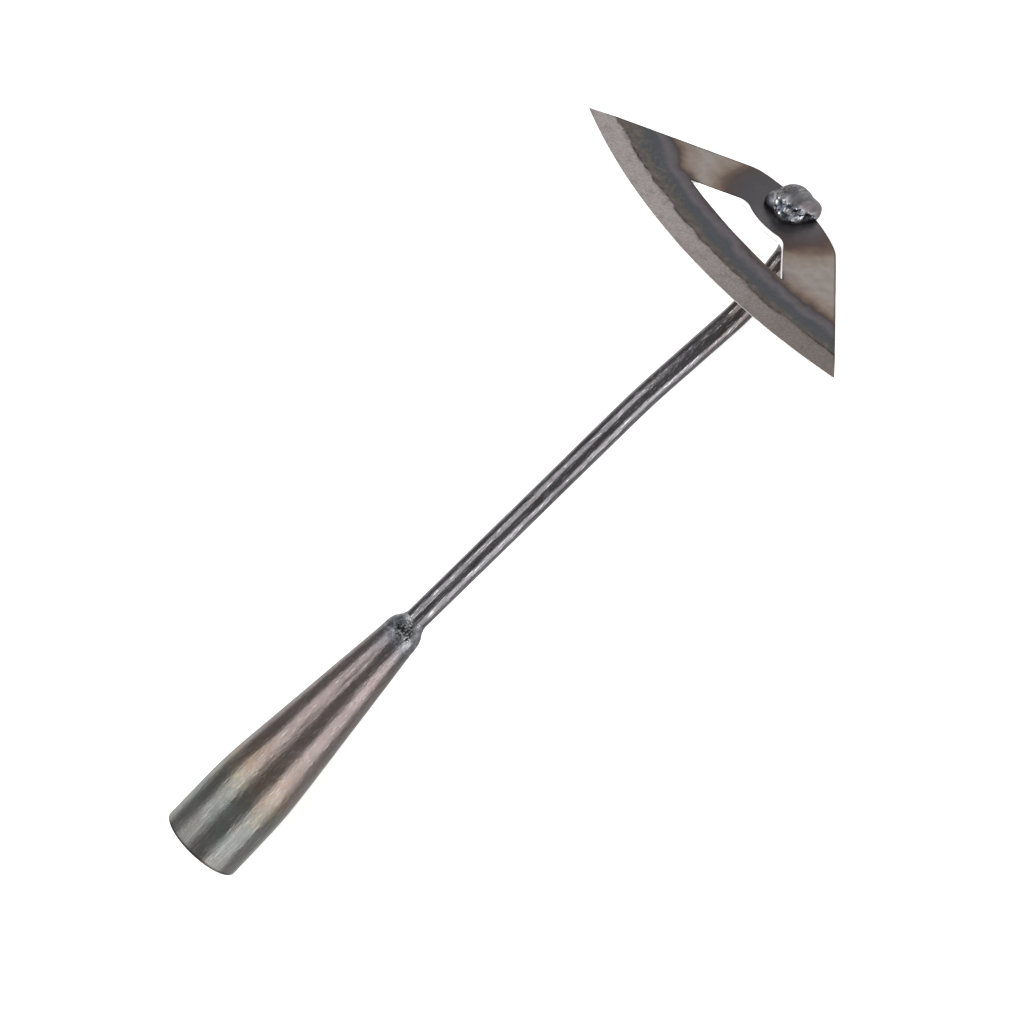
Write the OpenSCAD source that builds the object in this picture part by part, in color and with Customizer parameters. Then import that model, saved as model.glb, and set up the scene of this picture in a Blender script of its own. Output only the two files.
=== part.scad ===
// All-steel hoe head: a hollow crescent blade welded to a round bar, with a handle socket at the other end.
// Origin at the centre of the socket's mouth, +X along the socket towards the blade, +Y towards one blade tip,
// +Z up with the head lying on its back and the cutting edge standing up.

/* [Socket] */
// Outside diameter at the open mouth
mouth_od = 29.5; // [28.5:0.1:34]
// Outside diameter at the shoulder, where the cone starts
shoulder_od = 29; // [28.4:0.1:30]
// Outside diameter at the small end
tip_od = 13.4; // [11:0.1:16]
// Diameter of the straight bore that takes the wooden handle
bore_d = 26.2; // [22:0.1:26.4]
// Length of the straight bore
bore_len = 28; // [20:1:40]
// Length of the whole socket
socket_len = 100; // [80:1:130]
// Length of the small end that is closed down on the bar
grip_len = 8; // [5:1:14]

/* [Shank] */
// Diameter of the round bar
bar_d = 8; // [6:0.5:10]
// How far the bar reaches into the socket's small end
bar_inside = 12; // [9:1:16]
// Radial gap between the bar and each hole that it passes through
bar_gap = 0.15; // [0.05:0.05:0.4]

/* [Blade] */
// Width from tip to tip
blade_w = 134; // [110:1:160]
// Thickness of the plate
blade_t = 2.5; // [1.5:0.1:4]
// Angle between the plate and the handle's axis
blade_angle = 50; // [45:1:55]
// Distance from the hub's centre to the line through both tips
tip_reach = 33.9; // [30:0.1:40]
// Height of the cutting arc above that line
edge_sag = 10.5; // [8:0.1:14]
// Distance from the hub's centre back to the point where both outer edges would meet
apex_back = 18.5; // [16:0.1:20]
// Width of each arm
arm_w = 17.2; // [14:0.1:18]
// Width of the band between the cutting arc and the window
band_w = 20; // [16:0.5:22]
// Width of the ground bevel
bevel_w = 8.4; // [6:0.1:12]
// Thickness left at the cutting edge
edge_t = 0.4; // [0.2:0.1:0.8]
// Thickness ground off the front face at the cutting edge, the rest being ground off the back
front_grind = 0.4; // [0.2:0.1:0.6]

/* [Hub] */
// Distance from the hub's centre to its outer edge
hub_back = 5.4; // [4:0.1:6]
// Distance from the hub's centre to the window
hub_front = 12.8; // [12:0.1:14]
// Radius of the hub's outer edge
hub_outer_r = 66; // [60:1:72]
// Radius of the hub's edge on the window
hub_inner_r = 26; // [22:1:30]
// Radius of the window's corners beside the hub
hub_fillet = 5; // [3:0.5:7]

/* [Hidden] */
$fn = 96;
cut = 0.5;

// Hub's centre on the plate's front face, as [x, z]
hub = [291, 5.4];
// Place of the bar's hole on the plate, measured from the hub's centre towards the edge
bar_hole_w = 1.5;
// How far the bar's end stands out of the plate's front face
bar_end = 1.5;

// A point of the symmetry plane, w along the plate from the hub and n out of its front face
function on_plate(w, n) = [
    hub[0] - w * cos(blade_angle) + n * sin(blade_angle),
    hub[1] + w * sin(blade_angle) + n * cos(blade_angle)
];

// Corner points of the bar's centre line in the symmetry plane, as [x, z], and the bend radius at each corner
bar_entry = on_plate(bar_hole_w, 0);
route = [
    [socket_len - bar_inside, 0],
    [socket_len + 1, 0],
    [212, -7.5],
    [257, -15.2],
    [283, -10.3],
    bar_entry
];
bend_r = [60, 120, 45, 13];

function heading(i) = atan2(route[i + 1][1] - route[i][1], route[i + 1][0] - route[i][0]);
function leg(i) = norm(route[i + 1] - route[i]);
function turn(i) = heading(i) - heading(i - 1);
// Length that the bend at corner i takes from the legs on both sides of it
function trim(i) = (i < 1 || i > len(bend_r)) ? 0 : bend_r[i - 1] * tan(abs(turn(i)) / 2);

// Blade outline, from the hub's centre
edge_r = (pow(blade_w / 2, 2) + pow(edge_sag, 2)) / (2 * edge_sag);
edge_c = tip_reach + edge_sag - edge_r;
arm_angle = atan((tip_reach + apex_back) / (blade_w / 2));
arm_inner = arm_w / cos(arm_angle) - apex_back;
hub_inner_c = hub_front - hub_inner_r;
hub_outer_c = hub_outer_r - hub_back;
// Size of the rectangle round the arms' meeting point that is trimmed to the hub's outer arc
hub_trim = [60, 22];

// Centre of the round corner between an arm's inner edge and the hub's edge, and how far it is along the arm
fillet_drop = arm_inner - hub_inner_c;
fillet_reach = sqrt(pow(hub_inner_r + hub_fillet, 2) - pow(hub_fillet + fillet_drop * cos(arm_angle), 2));
fillet_along = fillet_reach - fillet_drop * sin(arm_angle);
fillet_foot = [fillet_along * cos(arm_angle), arm_inner + fillet_along * sin(arm_angle)];
fillet_c = fillet_foot + hub_fillet * [-sin(arm_angle), cos(arm_angle)];
fillet_touch = [0, hub_inner_c] + (fillet_c - [0, hub_inner_c]) * hub_inner_r / (hub_inner_r + hub_fillet);

// Stands a shape that was drawn with +Z along the part's X axis
module along_x() {
    rotate([0, 90, 0]) children();
}

// Puts a shape drawn flat, with its origin at the hub and +Y towards the cutting edge, on the plate's front face
module on_blade() {
    translate([hub[0], 0, hub[1]]) rotate([0, blade_angle, 0]) rotate([0, 0, 90]) children();
}

// Each bend is a hair thicker than the bar and each leg ends a little way inside it, so that they join cleanly
bend_swell = 0.1;
leg_lap = 0.3;

// A straight bar along one leg of the route, from and to given distances along it
module leg_bar(i, from, to, d) {
    translate([route[i][0], 0, route[i][1]])
        rotate([0, 90 - heading(i), 0])
            translate([0, 0, from]) cylinder(d = d, h = to - from);
}

// The bent stretch of bar at corner i
module bend_bar(i, d) {
    side = turn(i) > 0 ? 1 : -1;
    start = route[i] - trim(i) * [cos(heading(i - 1)), sin(heading(i - 1))];
    centre = start + side * bend_r[i - 1] * [-sin(heading(i - 1)), cos(heading(i - 1))];
    first = heading(i - 1) - side * 90;
    translate([centre[0], 0, centre[1]])
        rotate([90, 0, 0])
            rotate([0, 0, side > 0 ? first : first + turn(i)])
                rotate_extrude(angle = abs(turn(i))) translate([bend_r[i - 1], 0]) circle(d = d + bend_swell);
}

module shank() {
    last = len(route) - 2;
    color("dimgray") union() {
        for (i = [0:last])
            leg_bar(
                i,
                trim(i) - (i > 0 ? leg_lap : 0),
                leg(i) - trim(i + 1) + (i == last ? bar_end : leg_lap),
                bar_d
            );
        for (i = [1:len(bend_r)]) bend_bar(i, bar_d);
    }
}

// The clear hole that the bar needs where it goes through the plate
module bar_hole() {
    last = len(route) - 2;
    leg_bar(last, leg(last) - 2 * blade_t - 6, leg(last) + 12, bar_d + 2 * bar_gap);
}

module socket() {
    cone_end = socket_len - grip_len;
    bar_hole_d = bar_d + 2 * bar_gap;
    color("slategray") difference() {
        along_x() union() {
            cylinder(d1 = mouth_od, d2 = shoulder_od, h = bore_len);
            translate([0, 0, bore_len]) cylinder(d1 = shoulder_od, d2 = tip_od, h = socket_len - bore_len);
        }
        along_x() union() {
            translate([0, 0, -cut]) cylinder(d = bore_d, h = bore_len + cut);
            translate([0, 0, bore_len])
                cylinder(d1 = bore_d, d2 = bar_hole_d, h = cone_end - bore_len);
            translate([0, 0, cone_end - cut]) cylinder(d = bar_hole_d, h = grip_len + 2 * cut);
        }
    }
}

// Weld bead that closes the socket's small end on the bar
module socket_weld() {
    bead = [[socket_len + 1, 4, 3], [socket_len + 4.4, 3.4, 2.1]];
    color("gray") difference() {
        along_x() rotate_extrude() intersection() {
            union() for (b = bead) translate([b[1], b[0]]) circle(r = b[2], $fn = 48);
            translate([0, socket_len - bar_inside]) square([20, 40]);
        }
        shank();
        along_x() translate([0, 0, socket_len - 20]) cylinder(d = tip_od + 20, h = 20);
    }
}

// The wedge between two lines that start at [0, w] and run along the arms
module arm_wedge(w) {
    reach = blade_w;
    polygon([[0, w], [reach, w + reach * tan(arm_angle)], [-reach, w + reach * tan(arm_angle)]]);
}

module blade_outline() {
    difference() {
        intersection() {
            translate([0, edge_c]) circle(r = edge_r, $fn = 360);
            arm_wedge(-apex_back);
        }
        difference() {
            translate([-hub_trim[0] / 2, -apex_back - cut]) square(hub_trim);
            translate([0, hub_outer_c]) circle(r = hub_outer_r);
        }
    }
}

// Metal that rounds the window's corner beside the hub. It overlaps the arm and the hub, so that they join cleanly
module window_corner() {
    overlap = 1.2;
    into_arm = 3;
    difference() {
        polygon([
            fillet_c,
            fillet_c + overlap * (fillet_foot - fillet_c),
            [0, arm_inner - into_arm],
            fillet_c + overlap * (fillet_touch - fillet_c)
        ]);
        translate(fillet_c) circle(r = hub_fillet);
    }
}

module window_outline() {
    difference() {
        intersection() {
            translate([0, edge_c]) circle(r = edge_r - band_w, $fn = 360);
            arm_wedge(arm_inner);
        }
        translate([0, hub_inner_c]) circle(r = hub_inner_r);
        for (side = [0, 1]) mirror([side, 0]) window_corner();
    }
}

// Everything that grinding takes off one face along the cutting arc, down to a given depth at the edge
module bevel_cutter(depth) {
    past = 2;
    slope = depth / bevel_w;
    translate([0, edge_c, 0]) rotate([0, 0, 60]) rotate_extrude(angle = 60, $fn = 360)
        polygon([
            [edge_r - bevel_w, 0],
            [edge_r + past, -slope * (bevel_w + past)],
            [edge_r + past, 1],
            [edge_r - bevel_w, 1]
        ]);
}

module blade() {
    color("silver") difference() {
        on_blade() difference() {
            translate([0, 0, -blade_t]) linear_extrude(blade_t) difference() {
                blade_outline();
                window_outline();
            }
            bevel_cutter(front_grind);
            translate([0, 0, -blade_t]) mirror([0, 0, 1]) bevel_cutter(blade_t - edge_t - front_grind);
        }
        bar_hole();
    }
}

// Lump of weld metal over the bar's end on the front face
module hub_weld() {
    lumps = [[1.2, -0.3, 2.6, 6.6], [5.6, 3.4, 0.4, 3.6], [-3.2, -5.2, 1.5, 3.9], [0, 1.2, -1.2, 6.2]];
    color("lightgray") difference() {
        on_blade() difference() {
            union() for (b = lumps) translate([b[0], b[1], b[2]]) sphere(r = b[3], $fn = 48);
            translate([-30, -30, -30]) cube([60, 60, 30]);
        }
        shank();
    }
}

// Fillet weld round the bar on the plate's back face
module hub_back_weld() {
    color("gray") difference() {
        on_blade() translate([0, bar_hole_w - 1, -blade_t - 3.5]) cylinder(r1 = 4.6, r2 = 7, h = 3.5);
        shank();
    }
}

socket();
shank();
blade();
socket_weld();
hub_weld();
hub_back_weld();
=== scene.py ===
import math
from itertools import product

import bpy
import numpy as np
from mathutils import Matrix, Vector, geometry


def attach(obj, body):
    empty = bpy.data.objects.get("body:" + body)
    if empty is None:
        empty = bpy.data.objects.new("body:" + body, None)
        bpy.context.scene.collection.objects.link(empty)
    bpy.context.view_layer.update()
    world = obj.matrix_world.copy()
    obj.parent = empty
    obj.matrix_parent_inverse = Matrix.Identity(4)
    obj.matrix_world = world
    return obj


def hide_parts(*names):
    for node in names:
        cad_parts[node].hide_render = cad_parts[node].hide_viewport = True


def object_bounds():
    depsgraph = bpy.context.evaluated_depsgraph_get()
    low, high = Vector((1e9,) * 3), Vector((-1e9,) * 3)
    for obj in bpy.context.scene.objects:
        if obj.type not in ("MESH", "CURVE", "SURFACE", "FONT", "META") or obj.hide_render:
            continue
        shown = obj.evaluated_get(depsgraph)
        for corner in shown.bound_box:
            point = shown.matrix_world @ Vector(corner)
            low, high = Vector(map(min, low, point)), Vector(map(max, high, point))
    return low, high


MM = 0.001
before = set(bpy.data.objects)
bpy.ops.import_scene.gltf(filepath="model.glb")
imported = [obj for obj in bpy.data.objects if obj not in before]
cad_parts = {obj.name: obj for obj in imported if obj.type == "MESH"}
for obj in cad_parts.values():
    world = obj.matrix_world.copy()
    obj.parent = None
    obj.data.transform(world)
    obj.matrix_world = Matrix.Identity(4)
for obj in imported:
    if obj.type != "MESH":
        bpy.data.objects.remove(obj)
cad_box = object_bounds()

# ---------------------------------------------------------------- camera

CAMERA_TARGET = Vector((0.1562, 0.0016, 0.0))
CAMERA_DISTANCE = 1.1456
CAMERA_ELEVATION = math.radians(56.83)
CAMERA_AZIMUTH = math.radians(-22.99)
CAMERA_ROLL = math.radians(65.94)
CAMERA_LENS = 123.05


def make_camera():
    """Looks down at the head from the side of its back, with the head lying across the picture's diagonal."""
    flat = math.cos(CAMERA_ELEVATION)
    drop = math.sin(CAMERA_ELEVATION)
    forward = Vector((flat * math.sin(CAMERA_AZIMUTH), flat * math.cos(CAMERA_AZIMUTH), -drop))
    level_right = forward.cross(Vector((0, 0, 1))).normalized()
    level_up = level_right.cross(forward)
    up = math.cos(CAMERA_ROLL) * level_up + math.sin(CAMERA_ROLL) * level_right
    right = forward.cross(up).normalized()
    turn = Matrix((right, up, -forward)).transposed().to_4x4()
    data = bpy.data.cameras.new("camera")
    data.lens = CAMERA_LENS
    data.sensor_width = 36
    camera = bpy.data.objects.new("camera", data)
    camera.matrix_world = Matrix.Translation(CAMERA_TARGET - forward * CAMERA_DISTANCE) @ turn
    bpy.context.scene.collection.objects.link(camera)
    bpy.context.scene.camera = camera


make_camera()

# ---------------------------------------------------------------- noise


def lattice_value(cell, seed):
    """A repeatable number from -1 to 1 for each whole-number cell."""
    x, y, z = (cell[..., i].astype(np.uint64) for i in range(3))
    mask = np.uint64(0xFFFFFFFF)
    h = (x * np.uint64(374761393) + y * np.uint64(668265263) + z * np.uint64(2246822519)) & mask
    h = (h + np.uint64(seed * 3266489917 % 4294967296)) & mask
    h = ((h ^ (h >> np.uint64(15))) * np.uint64(2246822519)) & mask
    h = ((h ^ (h >> np.uint64(13))) * np.uint64(3266489917)) & mask
    h = h ^ (h >> np.uint64(16))
    return h.astype(float) / 2147483648.0 - 1.0


def smooth_noise(points, size, seed):
    """Smooth noise from -1 to 1 with features of about that size."""
    p = np.asarray(points, float) / size + 1000.0
    cell = np.floor(p).astype(np.int64)
    f = p - cell
    f = f * f * (3 - 2 * f)
    total = np.zeros(len(p))
    for corner in product((0, 1), repeat=3):
        weight = np.ones(len(p))
        for axis in range(3):
            weight *= f[:, axis] if corner[axis] else 1 - f[:, axis]
        total += weight * lattice_value(cell + np.array(corner), seed)
    return total


def layered_noise(points, size, seed, layers=3):
    total = np.zeros(len(points))
    for i in range(layers):
        total += smooth_noise(points, size / 2**i, seed + i) / 2**i
    return total / (2 - 2 ** (1 - layers))


def grains(points, size, seed):
    """Height of packed round grains, 1 at a grain's middle and 0 between grains."""
    p = np.asarray(points, float) / size + 1000.0
    cell = np.floor(p).astype(np.int64)
    nearest = np.full(len(p), 9.0)
    for step in product((-1, 0, 1), repeat=3):
        c = cell + np.array(step)
        spot = c + 0.5 + 0.4 * np.stack([lattice_value(c, seed + k) for k in range(3)], axis=1)
        nearest = np.minimum(nearest, np.linalg.norm(p - spot, axis=1))
    return np.clip(1 - nearest / 0.75, 0, 1)


def ramp(x, low, high):
    """0 below low, 1 above high, smooth between them."""
    t = np.clip((np.asarray(x, float) - low) / (high - low), 0, 1)
    return t * t * (3 - 2 * t)


def wrap(x, turn, radius):
    """Noise places on a tube, so that noise closes round it without a seam."""
    return np.stack([x, radius * np.cos(turn), radius * np.sin(turn)], axis=1)


def flat_places(*columns):
    """Noise places from plate coordinates, with zeros for what is missing."""
    given = np.column_stack(columns)
    return np.column_stack([given, np.zeros((len(given), 3 - given.shape[1]))])


# ---------------------------------------------------------------- mesh pieces


def make_piece(name, points, faces, marks=None):
    """A smooth-shaded mesh object from points in millimetres. Materials read marks, one number per point."""
    mesh = bpy.data.meshes.new(name)
    mesh.from_pydata((np.asarray(points) * MM).tolist(), [], faces)
    mesh.validate()
    for mark, values in (marks or {}).items():
        attribute = mesh.attributes.new(mark, "FLOAT", "POINT")
        attribute.data.foreach_set("value", np.asarray(values, np.float32))
    mesh.polygons.foreach_set("use_smooth", [True] * len(mesh.polygons))
    mesh.update()
    piece = bpy.data.objects.new(name, mesh)
    bpy.context.scene.collection.objects.link(piece)
    return piece


def grid_faces(rows, columns, close_rows=False):
    """Quads of a grid of points whose columns close round. With close_rows, its rows do too."""
    faces = []
    for r in range(rows if close_rows else rows - 1):
        a, b = r * columns, (r + 1) % rows * columns
        for c in range(columns):
            d = (c + 1) % columns
            faces.append((a + c, a + d, b + d, b + c))
    return faces


def end_faces(rows, around, flip=False):
    """Triangles that close both ends of a grid, to two more points that follow the grid's own."""
    first, last, top = rows * around, rows * around + 1, (rows - 1) * around
    faces = []
    for c in range(around):
        a, b = (c + 1) % around, c
        if flip:
            a, b = b, a
        faces.append((first, a, b))
        faces.append((last, top + b, top + a))
    return faces


def sweep(stations, radius, around):
    """Points round a centre line in the XZ plane. stations are (x, z, heading in degrees)."""
    angle = np.linspace(0, 2 * math.pi, around, endpoint=False)
    x, z, heading = (np.array(v)[:, None] for v in zip(*stations))
    turn = np.radians(heading)
    ring_y, ring_n = np.cos(angle)[None, :], np.sin(angle)[None, :]
    r = radius[:, None] if np.ndim(radius) == 1 else radius
    px = x - r * ring_n * np.sin(turn)
    py = r * ring_y + 0 * x
    pz = z + r * ring_n * np.cos(turn)
    return np.stack([px, py, pz], axis=2).reshape(-1, 3), angle


# ---------------------------------------------------------------- sizes, as in the CAD

MOUTH_R, SHOULDER_R, TIP_R, BORE_R = 14.75, 14.5, 6.7, 13.1
BORE_LEN, SOCKET_LEN, GRIP_LEN = 28.0, 100.0, 8.0
BAR_R, BAR_END, BAR_HOLE_R = 4.0, 1.5, 4.15
HUB = np.array([291.0, 0.0, 5.4])
BLADE_ANGLE = math.radians(50)
BLADE_T, BLADE_HALF_W, TIP_REACH, EDGE_SAG = 2.5, 67.0, 33.9, 10.5
APEX_BACK, ARM_W, BAND_W = 18.5, 17.2, 20.0
BEVEL_W, EDGE_T, FRONT_GRIND = 8.4, 0.4, 0.4
HUB_BACK, HUB_FRONT, HUB_OUTER_R, HUB_INNER_R, HUB_FILLET = 5.4, 12.8, 66.0, 26.0, 5.0
BAR_HOLE_W = 1.5
BAR_START = 88.0
# Corners of the bar's centre line between its start and the plate, as (x, z), and the bend at each
BAR_CORNERS = [(SOCKET_LEN + 1, 0.0), (212.0, -7.5), (257.0, -15.2), (283.0, -10.3)]
BEND_RADII = [60, 120, 45, 13]

# The plate's own directions: across it to one tip, along it to the cutting edge, and out of its front face
ACROSS = np.array([0.0, 1.0, 0.0])
TO_EDGE = np.array([-math.cos(BLADE_ANGLE), 0.0, math.sin(BLADE_ANGLE)])
OUT = np.array([math.sin(BLADE_ANGLE), 0.0, math.cos(BLADE_ANGLE)])


def on_plate(u, w, n):
    """Points in the part's frame, from distances across the plate, towards its edge and out of its front."""
    u, w, n = (np.atleast_1d(np.asarray(v, float))[:, None] for v in (u, w, n))
    return HUB + u * ACROSS + w * TO_EDGE + n * OUT


# ---------------------------------------------------------------- socket


def socket_radius(x):
    """Outside radius along the socket, with a soft shoulder between the mouth and the cone."""
    straight = MOUTH_R + (SHOULDER_R - MOUTH_R) * x / BORE_LEN
    cone = SHOULDER_R + (TIP_R - SHOULDER_R) * (x - BORE_LEN) / (SOCKET_LEN - BORE_LEN)
    soft = 0.35
    return -soft * np.logaddexp(-straight / soft, -cone / soft)


def make_socket():
    around = 192
    rim = 0.3
    quarter = np.linspace(0, math.pi / 2, 6)
    wall_mid = 0.5 * (MOUTH_R + BORE_R)
    outside = [(rim - rim * math.sin(t), MOUTH_R - rim + rim * math.cos(t)) for t in quarter[::-1]]
    outside += [(x, None) for x in np.linspace(1.0, SOCKET_LEN - 0.6, 150)]
    tip = [(SOCKET_LEN - 0.6 + 0.6 * math.sin(t), TIP_R - 0.6 + 0.6 * math.cos(t)) for t in quarter[1:]]
    inside = [(x, BAR_HOLE_R) for x in np.linspace(SOCKET_LEN, SOCKET_LEN - GRIP_LEN, 4)]
    cone_end = SOCKET_LEN - GRIP_LEN
    inside += [
        (x, BAR_HOLE_R + (BORE_R - BAR_HOLE_R) * (cone_end - x) / (cone_end - BORE_LEN))
        for x in np.linspace(cone_end, BORE_LEN, 40)[1:]
    ]
    inside += [(x, BORE_R) for x in np.linspace(BORE_LEN, rim, 12)[1:]]
    inside += [(rim - rim * math.sin(t), BORE_R + rim - rim * math.cos(t)) for t in quarter[1:]]
    profile = outside + tip + inside + [(0.0, wall_mid)]
    x = np.array([p[0] for p in profile])
    r = np.array([socket_radius(p[0]) if p[1] is None else p[1] for p in profile])
    is_outside = np.array([p[1] is None for p in profile])
    points, angle = sweep([(v, 0.0, 0.0) for v in x], r, around)
    # Swaging leaves long shallow flats on the cone, and handling leaves dents
    station = np.repeat(x, around)
    turn = np.tile(angle, len(x))
    on_outside = np.repeat(is_outside, around)
    on_cone = ramp(station, 20, 45) * (1 - ramp(station, 88, 99))
    flats = np.abs(np.sin(4.5 * turn + 0.5 + 0.006 * station)) - 0.64
    dents = layered_noise(wrap(station / 6, turn, 9), 3.0, 11, 2)
    creases = layered_noise(wrap(station / 4, turn, 14), 2.2, 13, 2)
    push = on_outside * (0.10 * flats * on_cone + 0.045 * dents + 0.022 * creases)
    points[:, 1] += push * np.cos(turn)
    points[:, 2] += push * np.sin(turn)
    marks = {"along": station, "outer": on_outside.astype(float)}
    return make_piece("handle_socket_tube", points, grid_faces(len(x), around, True), marks)


# ---------------------------------------------------------------- bar


def bar_stations(spacing=0.8):
    """(x, z, heading) along the bar's centre line, with the same corners and bends as the CAD."""
    entry = on_plate(0, BAR_HOLE_W, 0)[0]
    corners = np.array([(BAR_START, 0), *BAR_CORNERS, (entry[0], entry[2])])
    bends = BEND_RADII
    legs = np.diff(corners, axis=0)
    length = np.linalg.norm(legs, axis=1)
    heading = np.arctan2(legs[:, 1], legs[:, 0])
    trim = [0.0] + [r * math.tan(abs(b - a) / 2) for r, a, b in zip(bends, heading, heading[1:])] + [-BAR_END]
    stations = []
    for i, (start, way) in enumerate(zip(corners, heading)):
        begin, end = trim[i], length[i] - trim[i + 1]
        steps = max(2, int((end - begin) / spacing))
        for s in np.linspace(begin, end, steps, endpoint=i == len(legs) - 1):
            stations.append((start[0] + s * math.cos(way), start[1] + s * math.sin(way), math.degrees(way)))
        if i < len(bends):
            turn = heading[i + 1] - way
            steps = max(6, int(bends[i] * abs(turn) / spacing))
            side = math.copysign(1, turn)
            begin_point = start + end * np.array([math.cos(way), math.sin(way)])
            centre = begin_point + side * bends[i] * np.array([-math.sin(way), math.cos(way)])
            for t in np.linspace(0, turn, steps, endpoint=False):
                a = way + t
                point = centre - side * bends[i] * np.array([-math.sin(a), math.cos(a)])
                stations.append((point[0], point[1], math.degrees(a)))
    return stations


def make_bar():
    around = 72
    stations = bar_stations()
    count = len(stations)
    xs = np.array([s[0] for s in stations])
    angle = np.linspace(0, 2 * math.pi, around, endpoint=False)
    station, turn = np.repeat(xs, around), np.tile(angle, count)
    # Rolled and hand-bent stock: long shallow waves, a few flats and fine scale
    waves = smooth_noise(wrap(station / 16, turn, 2.0), 1.0, 21)
    fine = smooth_noise(wrap(station / 3.2, turn, 5), 1.0, 22)
    visible = ramp(station, 100, 106)
    radius = (BAR_R + visible * (0.045 * waves + 0.012 * fine)).reshape(count, around)
    points, _ = sweep(stations, radius, around)
    points = np.vstack([points, [[stations[i][0], 0, stations[i][1]] for i in (0, -1)]])
    faces = grid_faces(count, around) + end_faces(count, around)
    return make_piece("bent_bar_shank", points, faces, {"along": points[:, 0]})


# ---------------------------------------------------------------- blade outline

EDGE_R = (BLADE_HALF_W**2 + EDGE_SAG**2) / (2 * EDGE_SAG)
EDGE_C = TIP_REACH + EDGE_SAG - EDGE_R
ARM_ANGLE = math.atan((TIP_REACH + APEX_BACK) / BLADE_HALF_W)
ARM_INNER = ARM_W / math.cos(ARM_ANGLE) - APEX_BACK
HUB_INNER_C = HUB_FRONT - HUB_INNER_R
HUB_OUTER_C = HUB_OUTER_R - HUB_BACK


def arc(centre, radius, start, end, spacing=0.3):
    """Points on an arc, angles in radians, without the last one."""
    steps = max(2, int(abs(end - start) * radius / spacing))
    t = np.linspace(start, end, steps, endpoint=False)
    return np.stack([centre[0] + radius * np.cos(t), centre[1] + radius * np.sin(t)], axis=1)


def line(a, b, spacing=0.3):
    steps = max(2, int(math.dist(a, b) / spacing))
    t = np.linspace(0, 1, steps, endpoint=False)[:, None]
    return np.array(a)[None, :] * (1 - t) + np.array(b)[None, :] * t


def soften(loop, corners, reach, spacing=0.3):
    """Rounds a closed loop near some corners by averaging it with its neighbours."""
    half = max(1, int(reach / spacing))
    offsets = np.arange(-2 * half, 2 * half + 1)
    weight = np.exp(-0.5 * (offsets / (0.7 * half)) ** 2)
    weight /= weight.sum()
    near = np.zeros(len(loop))
    for corner in corners:
        near = np.maximum(near, 1 - ramp(np.linalg.norm(loop - corner, axis=1), reach, 2.2 * reach))
    mean = sum(k * np.roll(loop, -o, axis=0) for k, o in zip(weight, offsets))
    return loop + near[:, None] * (mean - loop)


def outer_loop():
    tip = np.array([BLADE_HALF_W, TIP_REACH])
    sweep_angle = math.asin(BLADE_HALF_W / EDGE_R)
    cutting = arc((0, EDGE_C), EDGE_R, math.pi / 2 + sweep_angle, math.pi / 2 - sweep_angle)
    gap = (HUB_OUTER_C + APEX_BACK) * math.cos(ARM_ANGLE)
    along = (HUB_OUTER_C + APEX_BACK) * math.sin(ARM_ANGLE) - math.sqrt(HUB_OUTER_R**2 - gap**2)
    shoulder = np.array([along * math.cos(ARM_ANGLE), along * math.sin(ARM_ANGLE) - APEX_BACK])
    start = math.atan2(shoulder[1] - HUB_OUTER_C, shoulder[0])
    hub = arc((0, HUB_OUTER_C), HUB_OUTER_R, start, -math.pi - start)
    other = shoulder * [-1, 1]
    loop = np.vstack([cutting, line(tip, shoulder), hub, line(other, tip * [-1, 1])])
    loop = soften(loop, [shoulder, other], 3.0)
    return soften(loop, [tip, tip * [-1, 1]], 0.5)


def window_loop():
    band_r = EDGE_R - BAND_W
    drop = ARM_INNER - HUB_INNER_C
    cos_a, sin_a = math.cos(ARM_ANGLE), math.sin(ARM_ANGLE)
    reach = math.sqrt((HUB_INNER_R + HUB_FILLET) ** 2 - (HUB_FILLET + drop * cos_a) ** 2)
    along = reach - drop * sin_a
    foot = np.array([along * cos_a, ARM_INNER + along * sin_a])
    centre = foot + HUB_FILLET * np.array([-sin_a, cos_a])
    hub_centre = np.array([0, HUB_INNER_C])
    touch = hub_centre + (centre - hub_centre) * HUB_INNER_R / (HUB_INNER_R + HUB_FILLET)
    # Where the arm's inner edge meets the band
    b = sin_a * (ARM_INNER - EDGE_C)
    t = -b + math.sqrt(b * b - (ARM_INNER - EDGE_C) ** 2 + band_r**2)
    corner = np.array([t * cos_a, ARM_INNER + t * sin_a])
    a0 = math.atan2(corner[1] - EDGE_C, -corner[0])
    a1 = math.atan2(corner[1] - EDGE_C, corner[0])
    band = arc((0, EDGE_C), band_r, a0, a1)
    f0 = math.atan2(*(foot - centre)[::-1])
    f1 = math.atan2(*(touch - centre)[::-1])
    if f1 > f0:
        f1 -= 2 * math.pi
    fillet = arc(centre, HUB_FILLET, f0, f1)
    h0 = math.atan2(touch[1] - HUB_INNER_C, touch[0])
    hub = arc((0, HUB_INNER_C), HUB_INNER_R, h0, math.pi - h0)
    right = np.vstack([line(corner, foot), fillet])
    left = (np.vstack([right, [touch]]) * [-1, 1])[::-1]
    loop = np.vstack([band, right, hub, left[:-1]])
    return soften(loop, [corner, corner * [-1, 1]], 0.8)


def hole_loop():
    """The oval hole in the hub that the bar goes through, under the welds."""
    t = np.linspace(0, 2 * math.pi, 64, endpoint=False)
    return np.stack([4.2 * np.cos(t), 0.9 + 4.9 * np.sin(t)], axis=1)


def loop_normals(loop):
    along = np.roll(loop, -1, axis=0) - np.roll(loop, 1, axis=0)
    along /= np.linalg.norm(along, axis=1)[:, None]
    return np.stack([along[:, 1], -along[:, 0]], axis=1)


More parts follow.
